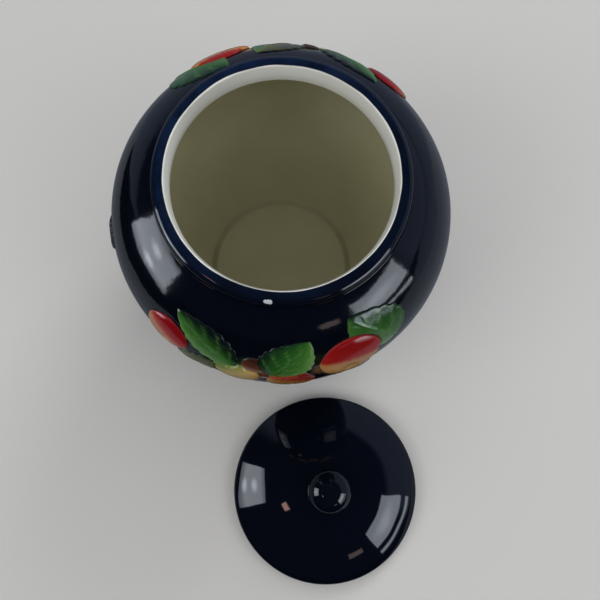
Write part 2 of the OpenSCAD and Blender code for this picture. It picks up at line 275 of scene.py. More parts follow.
@dataclass(frozen=True)
class JarGlaze:
    """Lead-type glaze on slip-cast white earthenware: cobalt outside, cream-white inside.

    A thick dipped glaze is a smooth, glass-like skin (IOR 1.5, roughness 0.05 to 0.09). The cobalt
    goes nearly black where it is thick and a brighter blue where it ran thin over the rim.
    """

    name: str
    deep: str = "050913"
    thin: str = "16294A"
    cream: str = "ECEDE6"
    shaded: str = "C2BEA0"  # painted shade: the same cream glaze, darker and yellower, down inside
    shaded_clouds: str = "BAB696"  # duller clouds in that painted shade
    cove_shade: str = "7C7750"  # painted shade in the cove's corner
    iron: str = "5A4A3A"  # the specks in it
    clay: str = "C9B79C"
    chalk: str = "C4C8CE"  # the white body that a chip lays bare
    roughness: float = 0.05
    clay_roughness: float = 0.75
    wave: float = 0.6  # mm, height of the slow waves in which the glaze settles
    ripple: float = 0.0  # mm, height of the fine ripple of a slip-cast wall
    lined: bool = True  # whether the piece has a cream-glazed part
    painted_shade_z: float = -100.0  # mm, height below which the cream is painted darker as shade
    cove_shade_along: float = -1000.0  # mm along the profile to the cove, where shade is painted
    rim_along: float = 6.0  # mm along the profile over which the cobalt runs thin
    foot_z: float = 1.3  # mm above the table up to which the foot ring is wiped bare
    thin_side: tuple[float, float, float] = (-0.7, 0.7, 0.0)  # where the cobalt ran thinnest
    washes: tuple[tuple[float, float, float, str], ...] = ()  # bearing, rise and reach, and colour
    chip: tuple[float, float, float] | None = None  # mm, a chip in the glaze
    chip_size: tuple[float, float, float] = (2.5, 1.3, 1.6)  # mm, its reach along X, Y and Z
    specks: tuple[tuple[float, float, float], ...] = ()  # mm, iron specks in the cream
    speck_r: float = 0.55  # mm

    def build(self) -> Material:
        """Build the node material.

        Returns:
            The finished material; it reads the attribute "along" and Object coordinates.
        """
        material, tree = new_material(self.name)
        place = add_node(tree, "TexCoord", out="Object")
        along = add_node(tree, "Attribute", out="Fac", attribute_name="along")
        # The glaze line wanders by a fraction of a millimetre: noise of about 25 mm pitch moves it.
        wander = add_node(tree, "TexNoise", {"Vector": place, "Scale": 40.0, "Detail": 1.0})
        shift = add_node(tree, "MapRange", [wander, 0.3, 0.7, -0.3, 0.3])
        line = add_node(tree, "Math", [along, shift], operation="ADD")
        inside = add_node(tree, "MapRange", [line, -0.18, 0.28, 0.0, float(self.lined)], **SOFTLY)
        # Thin, brighter cobalt over the rim, broken up as it pools: pitch about 20 mm.
        pool = add_node(
            tree, "TexNoise", {"Vector": place, "Scale": 50.0, "Detail": 3.0, "Roughness": 0.55}
        )
        near_rim = add_node(
            tree, "MapRange", [along, -self.rim_along - 2.5, -self.rim_along + 4], **SOFTLY
        )
        pooled = add_node(tree, "MapRange", [pool, 0.35, 0.68, 0.15, 0.7])
        lean = add_node(
            tree, "VectorMath", [place, self.thin_side], out="Value", operation="DOT_PRODUCT"
        )
        sided = add_node(tree, "MapRange", [lean, -0.045, 0.05, 0.25, 1.0], **SOFTLY)
        thinness = add_node(tree, "Math", [near_rim, pooled], operation="MULTIPLY")
        thinness = add_node(tree, "Math", [thinness, sided], operation="MULTIPLY")
        cobalt = add_node(
            tree, "Mix", {0: thinness, 6: linear(self.deep), 7: linear(self.thin)}, **BLEND
        )
        if self.washes:
            cobalt = self._washed(tree, place, pool, cobalt)
        cream = self._cream(tree, place, along)
        colour = add_node(tree, "Mix", {0: inside, 6: cobalt, 7: cream}, **BLEND)
        height = add_node(tree, "SeparateXYZ", [place], out="Z")
        bare = add_node(tree, "Math", [height, self.foot_z * MM], operation="LESS_THAN")
        colour = add_node(tree, "Mix", {0: bare, 6: colour, 7: linear(self.clay)}, **BLEND)
        if self.chip:
            colour = self._chipped(tree, place, colour)
        rough = add_node(tree, "MapRange", [bare, 0.0, 1.0, self.roughness, self.clay_roughness])
        # Glaze settles in slow waves about 35 mm long; a cast wall adds a ripple about 9 mm long.
        waves = add_node(tree, "TexNoise", {"Vector": place, "Scale": 28.0, "Detail": 1.0})
        bump = add_node(tree, "Bump", {"Strength": 1.0, "Distance": self.wave * MM, "Height": waves})
        if self.ripple:
            ripples = add_node(tree, "TexNoise", {"Vector": place, "Scale": 110.0, "Detail": 2.0})
            bump = add_node(
                tree,
                "Bump",
                {"Strength": 1.0, "Distance": self.ripple * MM, "Height": ripples, "Normal": bump},
            )
        shader = add_node(
            tree,
            "BsdfPrincipled",
            {"Base Color": colour, "Roughness": rough, "IOR": GLAZE_IOR, "Normal": bump},
        )
        add_node(tree, "OutputMaterial", [shader])
        return material

    def _washed(self, tree: Tree, place: Socket, uneven: Socket, colour: Socket) -> Socket:
        """Let the brushed sprig colours stray onto the ground in the gaps between the sprigs; a dark
        wash also serves as painted shadow.

        Args:
            tree: the material's tree.
            place: Object coordinates.
            uneven: noise that makes each wash's border ragged.
            colour: the colour so far.

        Returns:
            The colour socket with the washes.
        """
        for az, rise, reach, tint in self.washes:
            middle = Wall().seat(az, rise, 0)[0] * MM
            away = add_node(
                tree, "VectorMath", [place, tuple(middle)], out="Value", operation="DISTANCE"
            )
            ragged = add_node(tree, "Math", [uneven, 0.4 * reach * MM, away], operation="MULTIPLY_ADD")
            amount = add_node(
                tree, "MapRange", [ragged, 0.6 * reach * MM, 1.2 * reach * MM, 0.9, 0.0], **SOFTLY
            )
            colour = add_node(tree, "Mix", {0: amount, 6: colour, 7: linear(tint)}, **BLEND)
        return colour

    def _cream(self, tree: Tree, place: Socket, along: Socket) -> Socket:
        """Cream glaze: clear white over the neck, with darker, yellower painted shade below and in the
        cove, and iron specks.

        Args:
            tree: the material's tree.
            place: Object coordinates.
            along: distance along the profile, mm.

        Returns:
            The colour socket.
        """
        # Clouds of about 33 mm in the painted shade below the neck.
        clouds = add_node(tree, "TexNoise", {"Vector": place, "Scale": 30.0, "Detail": 2.0})
        height = add_node(tree, "SeparateXYZ", [place], out="Z")
        # Painted shade: below this height the cream turns to the darker, yellower colours.
        thick = add_node(
            tree, "MapRange", [height, (self.painted_shade_z - 1.5) * MM, self.painted_shade_z * MM, 1.0, 0.0], **SOFTLY
        )
        tint = add_node(tree, "ValToRGB", [clouds])
        set_ramp(tint.node, [(0.3, self.shaded_clouds), (0.7, self.shaded)])
        colour = add_node(tree, "Mix", {0: thick, 6: linear(self.cream), 7: tint}, **BLEND)
        # Painted shade in the cove's corner, fainter towards the back.
        from_cove_shade = add_node(tree, "Math", [along, self.cove_shade_along], operation="SUBTRACT")
        off_cove_shade = add_node(tree, "Math", [from_cove_shade], operation="ABSOLUTE")
        pool = add_node(tree, "MapRange", [off_cove_shade, 0.8, 3.6, 0.55, 0.0], **SOFTLY)
        depth = add_node(tree, "SeparateXYZ", [place], out="Y")
        faint = add_node(tree, "MapRange", [depth, 0.005, 0.05, 1.0, 0.4], **SOFTLY)
        pool = add_node(tree, "Math", [pool, faint], operation="MULTIPLY")
        colour = add_node(tree, "Mix", {0: pool, 6: colour, 7: linear(self.cove_shade)}, **BLEND)
        for speck in self.specks:
            away = add_node(
                tree,
                "VectorMath",
                [place, tuple(v * MM for v in speck)],
                out="Value",
                operation="DISTANCE",
            )
            dot = add_node(tree, "Math", [away, self.speck_r * MM], operation="LESS_THAN")
            colour = add_node(tree, "Mix", {0: dot, 6: colour, 7: linear(self.iron)}, **BLEND)
        return colour

    def _chipped(self, tree: Tree, place: Socket, colour: Socket) -> Socket:
        """Show white body where the glaze has chipped off the rim.

        Args:
            tree: the material's tree.
            place: Object coordinates.
            colour: the colour so far.

        Returns:
            The colour socket with the chip.
        """
        offset = add_node(
            tree, "VectorMath", [place, tuple(v * MM for v in self.chip)], operation="SUBTRACT"
        )
        squashed = add_node(
            tree,
            "VectorMath",
            [offset, tuple(1 / (v * MM) for v in self.chip_size)],
            operation="MULTIPLY",
        )
        away = add_node(tree, "VectorMath", [squashed], out="Value", operation="LENGTH")
        ragged = add_node(tree, "TexNoise", {"Vector": place, "Scale": 600.0})
        reach = add_node(tree, "Math", [ragged, 0.45], operation="ADD")
        chipped = add_node(tree, "Math", [away, reach], operation="LESS_THAN")
        return add_node(tree, "Mix", {0: chipped, 6: colour, 7: linear(self.chalk)}, **BLEND)


@dataclass(frozen=True)
class SprigPaint:
    """Underglaze colours brushed on a pressed sprig, under the same glossy clear glaze.

    The colours blend across the sprig with visible brush strokes, and the cobalt ground creeps
    over the sprig's edge in places, as hand painting leaves it.
    """

    name: str
    stops: tuple[tuple[float, str], ...]
    towards: tuple[float, float] = (0.0, 1.0)  # direction on the sprig's plan that the stops follow
    vein: str | None = None
    edge: str = "0A0F14"
    stroke_turn: float = 0.0  # degrees
    creep: float = 0.5  # mm that the ground creeps over the edge
    waver: float = 0.2  # how far the brush strokes carry one colour into the next
    stroke_scale: tuple[float, float, float] = (9.0, 2.2, 1.0)  # strokes across and along
    roughness: float = 0.16
    edge_roughness: float = 0.45
    wave: float = 0.14  # mm, height of the waves in the glaze

    def build(self) -> Material:
        """Build the node material.

        Returns:
            The finished material; it reads the UV map "plan" and the attributes "edge" and "vein".
        """
        material, tree = new_material(self.name)
        plan = add_node(tree, "UVMap", uv_map="plan")
        place = add_node(tree, "TexCoord", out="Object")
        # Brush strokes: noise drawn out along the stroke, each about a tenth of the sprig wide.
        turned = add_node(
            tree,
            "Mapping",
            {
                "Vector": plan,
                "Rotation": (0.0, 0.0, math.radians(self.stroke_turn)),
                "Scale": self.stroke_scale,
            },
        )
        strokes = add_node(tree, "TexNoise", {"Vector": turned, "Scale": 1.0, "Detail": 3.0})
        course = add_node(
            tree,
            "VectorMath",
            [plan, (self.towards[0] * 0.5, self.towards[1] * 0.5, 0.0)],
            out="Value",
            operation="DOT_PRODUCT",
        )
        wavered = add_node(tree, "Math", [strokes, self.waver, course], operation="MULTIPLY_ADD")
        colour = add_node(tree, "ValToRGB", [self._centred(tree, wavered)])
        set_ramp(colour.node, self.stops)
        if self.vein:
            colour = self._veined(tree, strokes, colour)
        border = add_node(tree, "Attribute", out="Fac", attribute_name="edge")
        # The ground's ragged edge: noise of about 4 mm pitch.
        ragged = add_node(tree, "TexNoise", {"Vector": place, "Scale": 260.0, "Detail": 2.0})
        reach = add_node(tree, "Math", [ragged, -2.6 * self.creep, border], operation="MULTIPLY_ADD")
        covered = add_node(tree, "MapRange", [reach, -self.creep, 0.1, 1.0, 0.0], **SOFTLY)
        colour = add_node(tree, "Mix", {0: covered, 6: colour, 7: linear(self.edge)}, **BLEND)
        # The glaze breaks duller over the sharp edges of the relief.
        rough = add_node(tree, "MapRange", [border, 0.0, 1.0, self.edge_roughness, self.roughness])
        waves = add_node(tree, "TexNoise", {"Vector": place, "Scale": 180.0, "Detail": 2.0})
        bump = add_node(tree, "Bump", {"Strength": 1.0, "Distance": self.wave * MM, "Height": waves})
        shader = add_node(
            tree,
            "BsdfPrincipled",
            {"Base Color": colour, "Roughness": rough, "IOR": GLAZE_IOR, "Normal": bump},
        )
        add_node(tree, "OutputMaterial", [shader])
        return material

    def _centred(self, tree: Tree, value: Socket) -> Socket:
        """Shift the wavering course so that the sprig's middle reads 0.5."""
        middle = 0.5 - 0.5 * self.waver
        return add_node(tree, "Math", [value, middle], operation="ADD")

    def _veined(self, tree: Tree, strokes: Socket, colour: Socket) -> Socket:
        """Brush lighter veins over a leaf, uneven along their length.

        Args:
            tree: the material's tree.
            strokes: the brush noise.
            colour: the colour so far.

        Returns:
            The colour socket with the veins.
        """
        vein = add_node(tree, "Attribute", out="Fac", attribute_name="vein")
        uneven = add_node(tree, "MapRange", [strokes, 0.4, 0.7, 0.0, 0.6])
        amount = add_node(tree, "Math", [vein, uneven], operation="MULTIPLY")
        return add_node(tree, "Mix", {0: amount, 6: colour, 7: linear(self.vein)}, **BLEND)


# ---- jar body ------------------------------------------------------------------------------


@dataclass
class JarBody:
    """The slip-cast body: foot, flank, shoulder, rolled rim, flared mouth, inside and floor."""

    glaze: JarGlaze
    steps: int = 192
    belly_r: float = 100.8
    belly_z: float = 137.5
    shoulder_arc: float = 70.0
    wall: float = 7.0
    mouth_r: float = 60.0
    rim_roll: float = 4.5
    rim_z: float = 199.2
    neck_z: float = 190.2
    neck_round: float = 1.5
    flare: float = 2.0
    foot_r: float = 58.0
    foot_h: float = 4.0
    foot_land: float = 7.0
    foot_hollow: float = 2.5
    floor_top: float = 8.0
    cove_r: float = 6.0
    groove: float = 0.7  # radius of the groove between the rim's roll and the shoulder
    lip_round: float = 1.5  # radius of the soft edge between the roll and the flared mouth

    @property
    def flank_arc(self) -> float:
        """Radius of the flank's arc below the widest ring."""
        rise = self.belly_z - self.foot_h
        reach = self.belly_r - self.foot_r
        return (reach**2 + rise**2) / (2 * reach)

    def profile(self) -> tuple[list[Point], int]:
        """Draw the body's profile.

        Returns:
            The points from the underside's middle round to the floor's middle, and the index of
            the point where the cobalt glaze meets the cream glaze.
        """
        shoulder = (self.belly_r - self.shoulder_arc, self.belly_z)
        flank = (self.belly_r - self.flank_arc, self.belly_z)
        roll = (self.mouth_r + self.rim_roll, self.rim_z)
        inner = self.foot_r - self.foot_land
        # The hollow underside, then the ring's land between two softly wiped edges.
        points: list[Point] = [(0, self.foot_hollow), (inner * 0.5, self.foot_hollow)]
        points += [(inner - 1.6, self.foot_hollow), (inner - 1.0, self.foot_hollow - 0.15)]
        points += [(inner - 0.2, 0.3), (inner + 0.1, 0.05), (inner + 0.6, 0)]
        points += [(self.foot_r - 1.5, 0), (self.foot_r - 0.9, 0.05)]
        points += [(self.foot_r - 0.1, 0.8), (self.foot_r, 1.3), (self.foot_r, self.foot_h - 0.5)]
        start = bearing(flank, (self.foot_r, self.foot_h))
        points += arc(flank, self.flank_arc, start + 0.15, 0, 40)[:-1]
        groove_at = self._groove_centre(shoulder, roll)
        touch = bearing(shoulder, groove_at)
        points += arc(shoulder, self.shoulder_arc, 0, touch, 44)
        points += arc(groove_at, self.groove, touch + 180, bearing(groove_at, roll) + 360, 5)[1:-1]
        lip_at, wall_touch = self._lip_centre(roll)
        over = bearing(roll, lip_at)
        points += arc(roll, self.rim_roll, bearing(roll, groove_at), over, 22)
        glaze_line = len(points) - 1
        points += arc(lip_at, self.lip_round, over, bearing(lip_at, wall_touch), 7)[1:]
        flare_z = self.rim_z - self.rim_roll / 2
        points += [(self.mouth_r, flare_z), (self.mouth_r - 0.15, (flare_z + self.neck_z) / 2 + 0.5)]
        edge = (self.mouth_r + self.neck_round, self.neck_z + self.neck_round)
        points += arc(edge, self.neck_round + 0.2, 180, 262, 7)
        inside = self.shoulder_arc - self.wall
        ledge_r = shoulder[0] + math.sqrt(inside**2 - (self.neck_z - self.belly_z) ** 2)
        points += [((edge[0] + ledge_r) / 2, self.neck_z)]
        points += arc(shoulder, inside, bearing(shoulder, (ledge_r, self.neck_z)) - 0.3, 0, 30)[:-1]
        flank_in = self.flank_arc - self.wall
        cove_z = self.floor_top + self.cove_r
        cove_x = flank[0] + math.sqrt((flank_in - self.cove_r) ** 2 - (self.belly_z - cove_z) ** 2)
        down = bearing(flank, (cove_x, cove_z))
        points += arc(flank, flank_in, 0, down, 40)
        points += arc((cove_x, cove_z), self.cove_r, down, -90, 10)[1:]
        # The floor sags a little towards its middle.
        points += [(cove_x * f, self.floor_top - 0.3 * (1 - f)) for f in (0.8, 0.55, 0.3, 0.0)]
        return points, glaze_line

    def _groove_centre(self, shoulder: Point, roll: Point) -> Point:
        """Centre of the small arc that lies against both the shoulder and the roll.

        Args:
            shoulder: centre of the shoulder's arc.
            roll: centre of the rim's roll.

        Returns:
            The centre on the outer side.
        """
        a = self.shoulder_arc + self.groove
        b = self.rim_roll + self.groove
        across = (roll[0] - shoulder[0], roll[1] - shoulder[1])
        apart = math.hypot(*across)
        near = (a**2 - b**2 + apart**2) / (2 * apart)
        off = math.sqrt(a**2 - near**2)
        unit = (across[0] / apart, across[1] / apart)
        return (
            shoulder[0] + unit[0] * near + unit[1] * off,
            shoulder[1] + unit[1] * near - unit[0] * off,
        )

    def _lip_centre(self, roll: Point) -> tuple[Point, Point]:
        """Centre of the soft edge that lies inside the roll and against the flared wall.

        Args:
            roll: centre of the rim's roll.

        Returns:
            The centre, and the point where it touches the flared wall.
        """
        low = (self.mouth_r, self.rim_z - self.rim_roll / 2)
        run = (self.flare, 1.5 * self.rim_roll)
        length = math.hypot(*run)
        unit = (run[0] / length, run[1] / length)
        foot = (low[0] + unit[1] * self.lip_round, low[1] - unit[0] * self.lip_round)
        gap = (foot[0] - roll[0], foot[1] - roll[1])
        b = gap[0] * unit[0] + gap[1] * unit[1]
        c = gap[0] ** 2 + gap[1] ** 2 - (self.rim_roll - self.lip_round) ** 2
        s = -b + math.sqrt(b * b - c)
        return (
            (foot[0] + unit[0] * s, foot[1] + unit[1] * s),
            (low[0] + unit[0] * s, low[1] + unit[1] * s),
        )

    def build(self) -> list[Piece]:
        """Turn the body, glaze it and put it in the body "jar".

        Returns:
            The one new piece.
        """
        points, glaze_line = self.profile()
        piece = spin_profile("jar_body_glazed", points, self.steps)
        mark_along(piece, points, glaze_line)
        cove = max(i for i, (_, height) in enumerate(points) if height > self.floor_top + 0.4)
        inside = points[glaze_line : cove + 1]
        # How far along the inside the cove lies, where its shade is painted.
        cove_shade_along = sum(math.dist(a, b) for a, b in zip(inside, inside[1:]))
        dress(piece, replace(self.glaze, cove_shade_along=cove_shade_along).build(), 60)
        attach(piece, "jar")
        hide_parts("jar_body")
        return [piece]


# ---- lid and knob --------------------------------------------------------------------------


@dataclass
class Lid:
    """The domed lid with its locating flange, and the ball knob on top."""

    glaze: JarGlaze
    knob_glaze: JarGlaze
    steps: int = 160
    at: Point = (32.674, -167.021)
    lid_r: float = 66.0
    dome_arc: float = 95.0
    lip_r: float = 2.2
    wall: float = 5.5
    flange_r: float = 58.8
    flange_h: float = 8.5
    flange_wall: float = 5.0
    flange_corner: float = 0.8  # radius of the corner between the lip and the flange
    flange_edge: float = 1.2  # radius of the flange's soft edges
    knob_r: float = 14.7
    stem_r: float = 8.0
    stem_h: float = 17.5
    stem_fillet: float = 3.0
    neck_fillet: float = 1.2  # radius of the soft corner between the stem and the ball

    @property
    def dome_z(self) -> float:
        """Height of the dome's centre."""
        lip_z = self.flange_h + self.lip_r
        return lip_z - math.sqrt((self.dome_arc - self.lip_r) ** 2 - (self.lid_r - self.lip_r) ** 2)

    def lid_profile(self) -> tuple[list[Point], int]:
        """Draw the lid's profile.

        Returns:
            The points from the dome's top round the lip and the flange to the hollow's top, and
            the index of the point where the cobalt meets the cream.
        """
        dome = (0.0, self.dome_z)
        lip = (self.lid_r - self.lip_r, self.flange_h + self.lip_r)
        touch = bearing(dome, lip)
        points = arc(dome, self.dome_arc, 90, touch, 44)
        points += arc(lip, self.lip_r, touch, -90, 14)[1:]
        glaze_line = len(points) + 1
        corner, edge = self.flange_corner, self.flange_edge
        points += [(self.flange_r + corner * f, self.flange_h) for f in (3, 1.5)]
        points += arc((self.flange_r + corner, self.flange_h - corner), corner, 90, 180, 4)
        points += arc((self.flange_r - edge, edge), edge, 0, -90, 6)
        inner = self.flange_r - self.flange_wall
        points += arc((inner + edge, edge), edge, -90, -180, 6)
        hollow = self.dome_arc - self.wall
        top = math.degrees(math.acos(inner / hollow))
        points += [(inner, 7.0), (inner, self.dome_z + hollow * math.sin(math.radians(top)) - 1.0)]
        points += arc(dome, hollow, top + 0.8, 90, 26)
        return points, glaze_line

    def knob_profile(self) -> tuple[list[Point], int]:
        """Draw the knob's profile: its seat on the dome, the stem and the ball.

        Returns:
            The points from the seat's middle to the ball's top, and an index far from any line.
        """
        dome_top = self.dome_z + self.dome_arc
        ball = (0.0, dome_top + self.stem_h)
        seat = self.dome_arc + 0.05
        reach = self.stem_r + self.stem_fillet
        seat_at = (0.0, self.dome_z)
        points = arc(seat_at, seat, 90, math.degrees(math.acos((reach - 0.4) / seat)), 8)
        fillet = (reach, dome_top + self.stem_fillet)
        points += arc(fillet, self.stem_fillet, 258, 180, 8)
        a = self.knob_r + self.neck_fillet
        corner_x = self.stem_r + self.neck_fillet
        corner = (corner_x, ball[1] - math.sqrt(a * a - corner_x**2))
        points += arc(corner, self.neck_fillet, 180, bearing(corner, ball), 5)
        points += arc(ball, self.knob_r, bearing(ball, corner), 90, 36)[1:]
        return points, 0

    def build(self) -> list[Piece]:
        """Turn the lid and the knob and put both in the body "lid".

        Returns:
            The two new pieces.
        """
        made = []
        for name, (points, line), glaze in (
            ("lid", self.lid_profile(), self.glaze),
            ("lid_knob", self.knob_profile(), self.knob_glaze),
        ):
            piece = spin_profile(f"{name}_glazed", points, self.steps, self.at)
            mark_along(piece, points, line, self.at)
            dress(piece, glaze.build(), 60)
            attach(piece, "lid")
            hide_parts(name)
            made.append(piece)
        return made


# ---- sprigs --------------------------------------------------------------------------------


@dataclass(frozen=True)
class Wall:
    """The body's outer surface, which the sprigs are pressed onto."""

    belly_r: float = 100.8
    belly_z: float = 137.5
    shoulder_arc: float = 70.0
    flank_arc: float = 229.607

    def _centres(self, points: np.ndarray) -> tuple[np.ndarray, np.ndarray, np.ndarray]:
        """Arc centre's radius and arc radius for each point, with the point's own radius."""
        upper = points[:, 2] >= self.belly_z
        radius = np.where(upper, self.shoulder_arc, self.flank_arc)
        return self.belly_r - radius, radius, np.hypot(points[:, 0], points[:, 1])

    def gap(self, points: np.ndarray) -> np.ndarray:
        """Distance of each point from the surface, positive outside, in mm."""
        centre, radius, around = self._centres(points)
        return np.hypot(around - centre, points[:, 2] - self.belly_z) - radius

    def normal(self, points: np.ndarray) -> np.ndarray:
        """Outward unit normal of the surface at each point."""
        centre, _, around = self._centres(points)
        out, up = around - centre, points[:, 2] - self.belly_z
        length = np.hypot(out, up)
        return np.stack(
            [points[:, 0] / around * out / length, points[:, 1] / around * out / length, up / length],
            axis=1,
        )

    def seat(self, az: float, rise: float, turn: float) -> np.ndarray:
        """Stand a frame on the wall.

        Args:
            az: bearing from the front, degrees.
            rise: height above the widest ring, mm.
            turn: turn of the frame's y axis from straight up towards the left, degrees.

        Returns:
            Four rows: the frame's origin, its right, its up and its outward direction.
        """
        radius = self.shoulder_arc if rise > 0 else self.flank_arc
        lean = math.asin(rise / radius)
        around = self.belly_r - radius * (1 - math.cos(lean))
        right = np.array([1.0, 0.0, 0.0])
        up = np.array([0.0, math.sin(lean), math.cos(lean)])
        out = np.array([0.0, -math.cos(lean), math.sin(lean)])
        t = math.radians(turn)
        rows = np.array(
            [
                [0.0, -around, self.belly_z + rise],
                math.cos(t) * right + math.sin(t) * up,
                -math.sin(t) * right + math.cos(t) * up,
                out,
            ]
        )
        a = math.radians(az)
        spin = np.array([[math.cos(a), math.sin(a), 0], [-math.sin(a), math.cos(a), 0], [0, 0, 1]])
        return rows @ spin

    def wrap(self, frame: np.ndarray, plan: np.ndarray, height: np.ndarray) -> np.ndarray:
        """Lay a flat plan on the wall, straight in along the frame's outward direction.

        Args:
            frame: a frame from seat.
            plan: (n, 2) points across and along the frame, mm.
            height: height of each point above the wall, mm.

        Returns:
            (n, 3) points, mm.
        """
        points = frame[0] + plan[:, :1] * frame[1] + plan[:, 1:] * frame[2]
        for _ in range(12):
            lean = np.maximum(self.normal(points) @ frame[3], 0.2)
            points = points - (self.gap(points) / lean)[:, None] * frame[3]
        return points + height[:, None] * self.normal(points)


@dataclass
class Sprig:
    """One pressed sprig: its place on the wall, its outline and the sprigs that lie over it."""

    node: str
    az: float
    rise: float
    paint: SprigPaint
    turn: float = 0.0
    over: list["Sprig"] = field(default_factory=list)
    columns: int = 49
    rows: int = 61
    wall: Wall = field(default_factory=Wall)

    def seat(self, side: Side) -> np.ndarray:
        """The frame that this sprig stands in on one side of the jar."""
        turn, lift = side.value
        return self.wall.seat(self.az + turn, self.rise + lift, self.turn)

    def outline(self, points: np.ndarray, side: Side) -> np.ndarray:
        """How far each point lies outside this sprig's outline, negative inside, in mm.

        Args:
            points: points in space, mm.
            side: the side that the garland is on.

        Returns:
            Distances, mm.
        """
        frame = self.seat(side)
        local = points - frame[0]
        return self.beyond(local @ frame[1], local @ frame[2])

    def beyond(self, across: np.ndarray, along: np.ndarray) -> np.ndarray:
        """Distance outside the outline on the plan, negative inside."""
        raise NotImplementedError

    def lay_out(self, x: np.ndarray, y: np.ndarray) -> tuple[np.ndarray, np.ndarray, np.ndarray]:
        """Turn the square grid to this sprig's plan.

        Args:
            x: grid places across, -1 to 1.
            y: grid places along, -1 to 1.

        Returns:
            The plan (n, 2) in mm, the distance from the outline in mm, and the vein's strength.
        """
        raise NotImplementedError

    def relief(self, plan: np.ndarray, x: np.ndarray, y: np.ndarray, inset: np.ndarray) -> np.ndarray:
        """Height above the wall in mm, before neighbours press on it."""
        raise NotImplementedError

    def build(self, side: Side) -> Piece:
        """Press the sprig, lay it on the wall and paint it.

        Args:
            side: the side that the garland is on.

        Returns:
            The new piece.
        """
        bpy.ops.object.select_all(action="DESELECT")
        bpy.ops.mesh.primitive_grid_add(
            x_subdivisions=self.columns,
            y_subdivisions=self.rows,
            size=2,
        )
        piece = bpy.context.object
        piece.name = f"{side.name.lower()}_{self.node}_pressed"
        bpy.ops.object.mode_set(mode="EDIT")
        bpy.ops.mesh.select_all(action="SELECT")
        bpy.ops.mesh.extrude_region_move(TRANSFORM_OT_translate={"value": (0, 0, 1)})
        bpy.ops.object.mode_set(mode="OBJECT")
        self._shape(piece, side)
        bpy.ops.object.mode_set(mode="EDIT")
        bpy.ops.mesh.select_all(action="SELECT")
        bpy.ops.mesh.remove_doubles(threshold=WELD)
        bpy.ops.mesh.normals_make_consistent(inside=False)
        bpy.ops.object.mode_set(mode="OBJECT")
        return piece

    def _shape(self, piece: Piece, side: Side) -> None:
        """Move the slab's vertices to the sprig's shape and store its plan and attributes.

        Args:
            piece: the extruded grid.
            side: the side that the garland is on.
        """
        mesh = piece.data
        places = np.empty(len(mesh.vertices) * 3)
        mesh.vertices.foreach_get("co", places)
        places = places.reshape(-1, 3)
        x, y, top = places[:, 0], places[:, 1], places[:, 2] > 0.5
        plan, inset, vein = self.lay_out(x, y)
        frame = self.seat(side)
        seat = self.wall.wrap(frame, plan, np.zeros(len(plan)))
        height = GLAZE_FILL * self.relief(plan, x, y, inset)
        # Beside a sprig that lies over it, this one is pressed down within about half a millimetre.
        for other in self.over:
            clear = other.outline(seat, side)
            inset = np.minimum(inset, clear + BORDER)
            height = height * smooth(-0.1, 0.5, clear) - TUCK * (1 - smooth(-1.0, 0.0, clear))
        height = np.where(top, height, -BEDDING)
        solid = self.wall.wrap(frame, plan, height) * MM
        mesh.vertices.foreach_set("co", solid.ravel())
        for name, values in (("edge", np.maximum(inset, 0)), ("vein", vein)):
            layer = mesh.attributes.new(name, "FLOAT", "POINT")
            layer.data.foreach_set("value", values.astype(np.float32))
        if mesh.uv_layers:
            mesh.uv_layers.remove(mesh.uv_layers[0])
        chart = mesh.uv_layers.new(name="plan")
        corners = np.empty(len(mesh.loops), dtype=np.int32)
        mesh.loops.foreach_get("vertex_index", corners)
        flat = self.chart(plan, x, y)[corners]
        chart.uv.foreach_set("vector", flat.astype(np.float32).ravel())
        mesh.update()

    def chart(self, plan: np.ndarray, x: np.ndarray, y: np.ndarray) -> np.ndarray:
        """UV place of each vertex, from -1 to 1 each way."""
        return np.stack([x, y], axis=1)


@dataclass
class Fruit(Sprig):
    """A round fruit: a low dome with soft edges, a cleft and a dimple."""

    r: float = 15.0
    proud: float = 2.0
    dimple: tuple[float, float] | None = None  # its place in radii
    pit: float = 0.9  # the dimple's depth, mm
    pit_reach: float = 0.16  # the dimple's reach in radii
    cleft: float = 0.0  # depth, mm
    cleft_reach: float = 0.9  # mm

    def beyond(self, across: np.ndarray, along: np.ndarray) -> np.ndarray:
        """Distance outside the round outline."""
        return np.hypot(across, along) - self.r

    def lay_out(self, x: np.ndarray, y: np.ndarray) -> tuple[np.ndarray, np.ndarray, np.ndarray]:
        """Turn the square grid to a disc."""
        plan = self.r * np.stack([x * np.sqrt(1 - y * y / 2), y * np.sqrt(1 - x * x / 2)], axis=1)
        return plan, self.r - np.hypot(*plan.T), np.zeros(len(x))

    def relief(self, plan: np.ndarray, x: np.ndarray, y: np.ndarray, inset: np.ndarray) -> np.ndarray:
        """Half an ellipse that dips to meet the wall at its edge."""
        dip = self.r**2 / (2 * self.wall.shoulder_arc)
        q = np.clip(np.hypot(*plan.T) / self.r, 0, 1)
        bow = np.sqrt(1 - q * q)
        height = self.proud * bow + dip * (bow - 1 + q * q)
        if self.dimple:
            away = np.hypot(*(plan / self.r - self.dimple).T)
            height -= self.pit * np.exp(-((away / self.pit_reach) ** 2))
        if self.cleft:
            bend = plan[:, 0] - 0.18 * self.r * np.cos(plan[:, 1] / self.r * 1.6)
            height -= self.cleft * np.exp(-((bend / self.cleft_reach) ** 2)) * bow
        return np.maximum(height, 0)

    def chart(self, plan: np.ndarray, x: np.ndarray, y: np.ndarray) -> np.ndarray:
        """UV place: the plan in radii of the fruit."""
        return plan / self.r


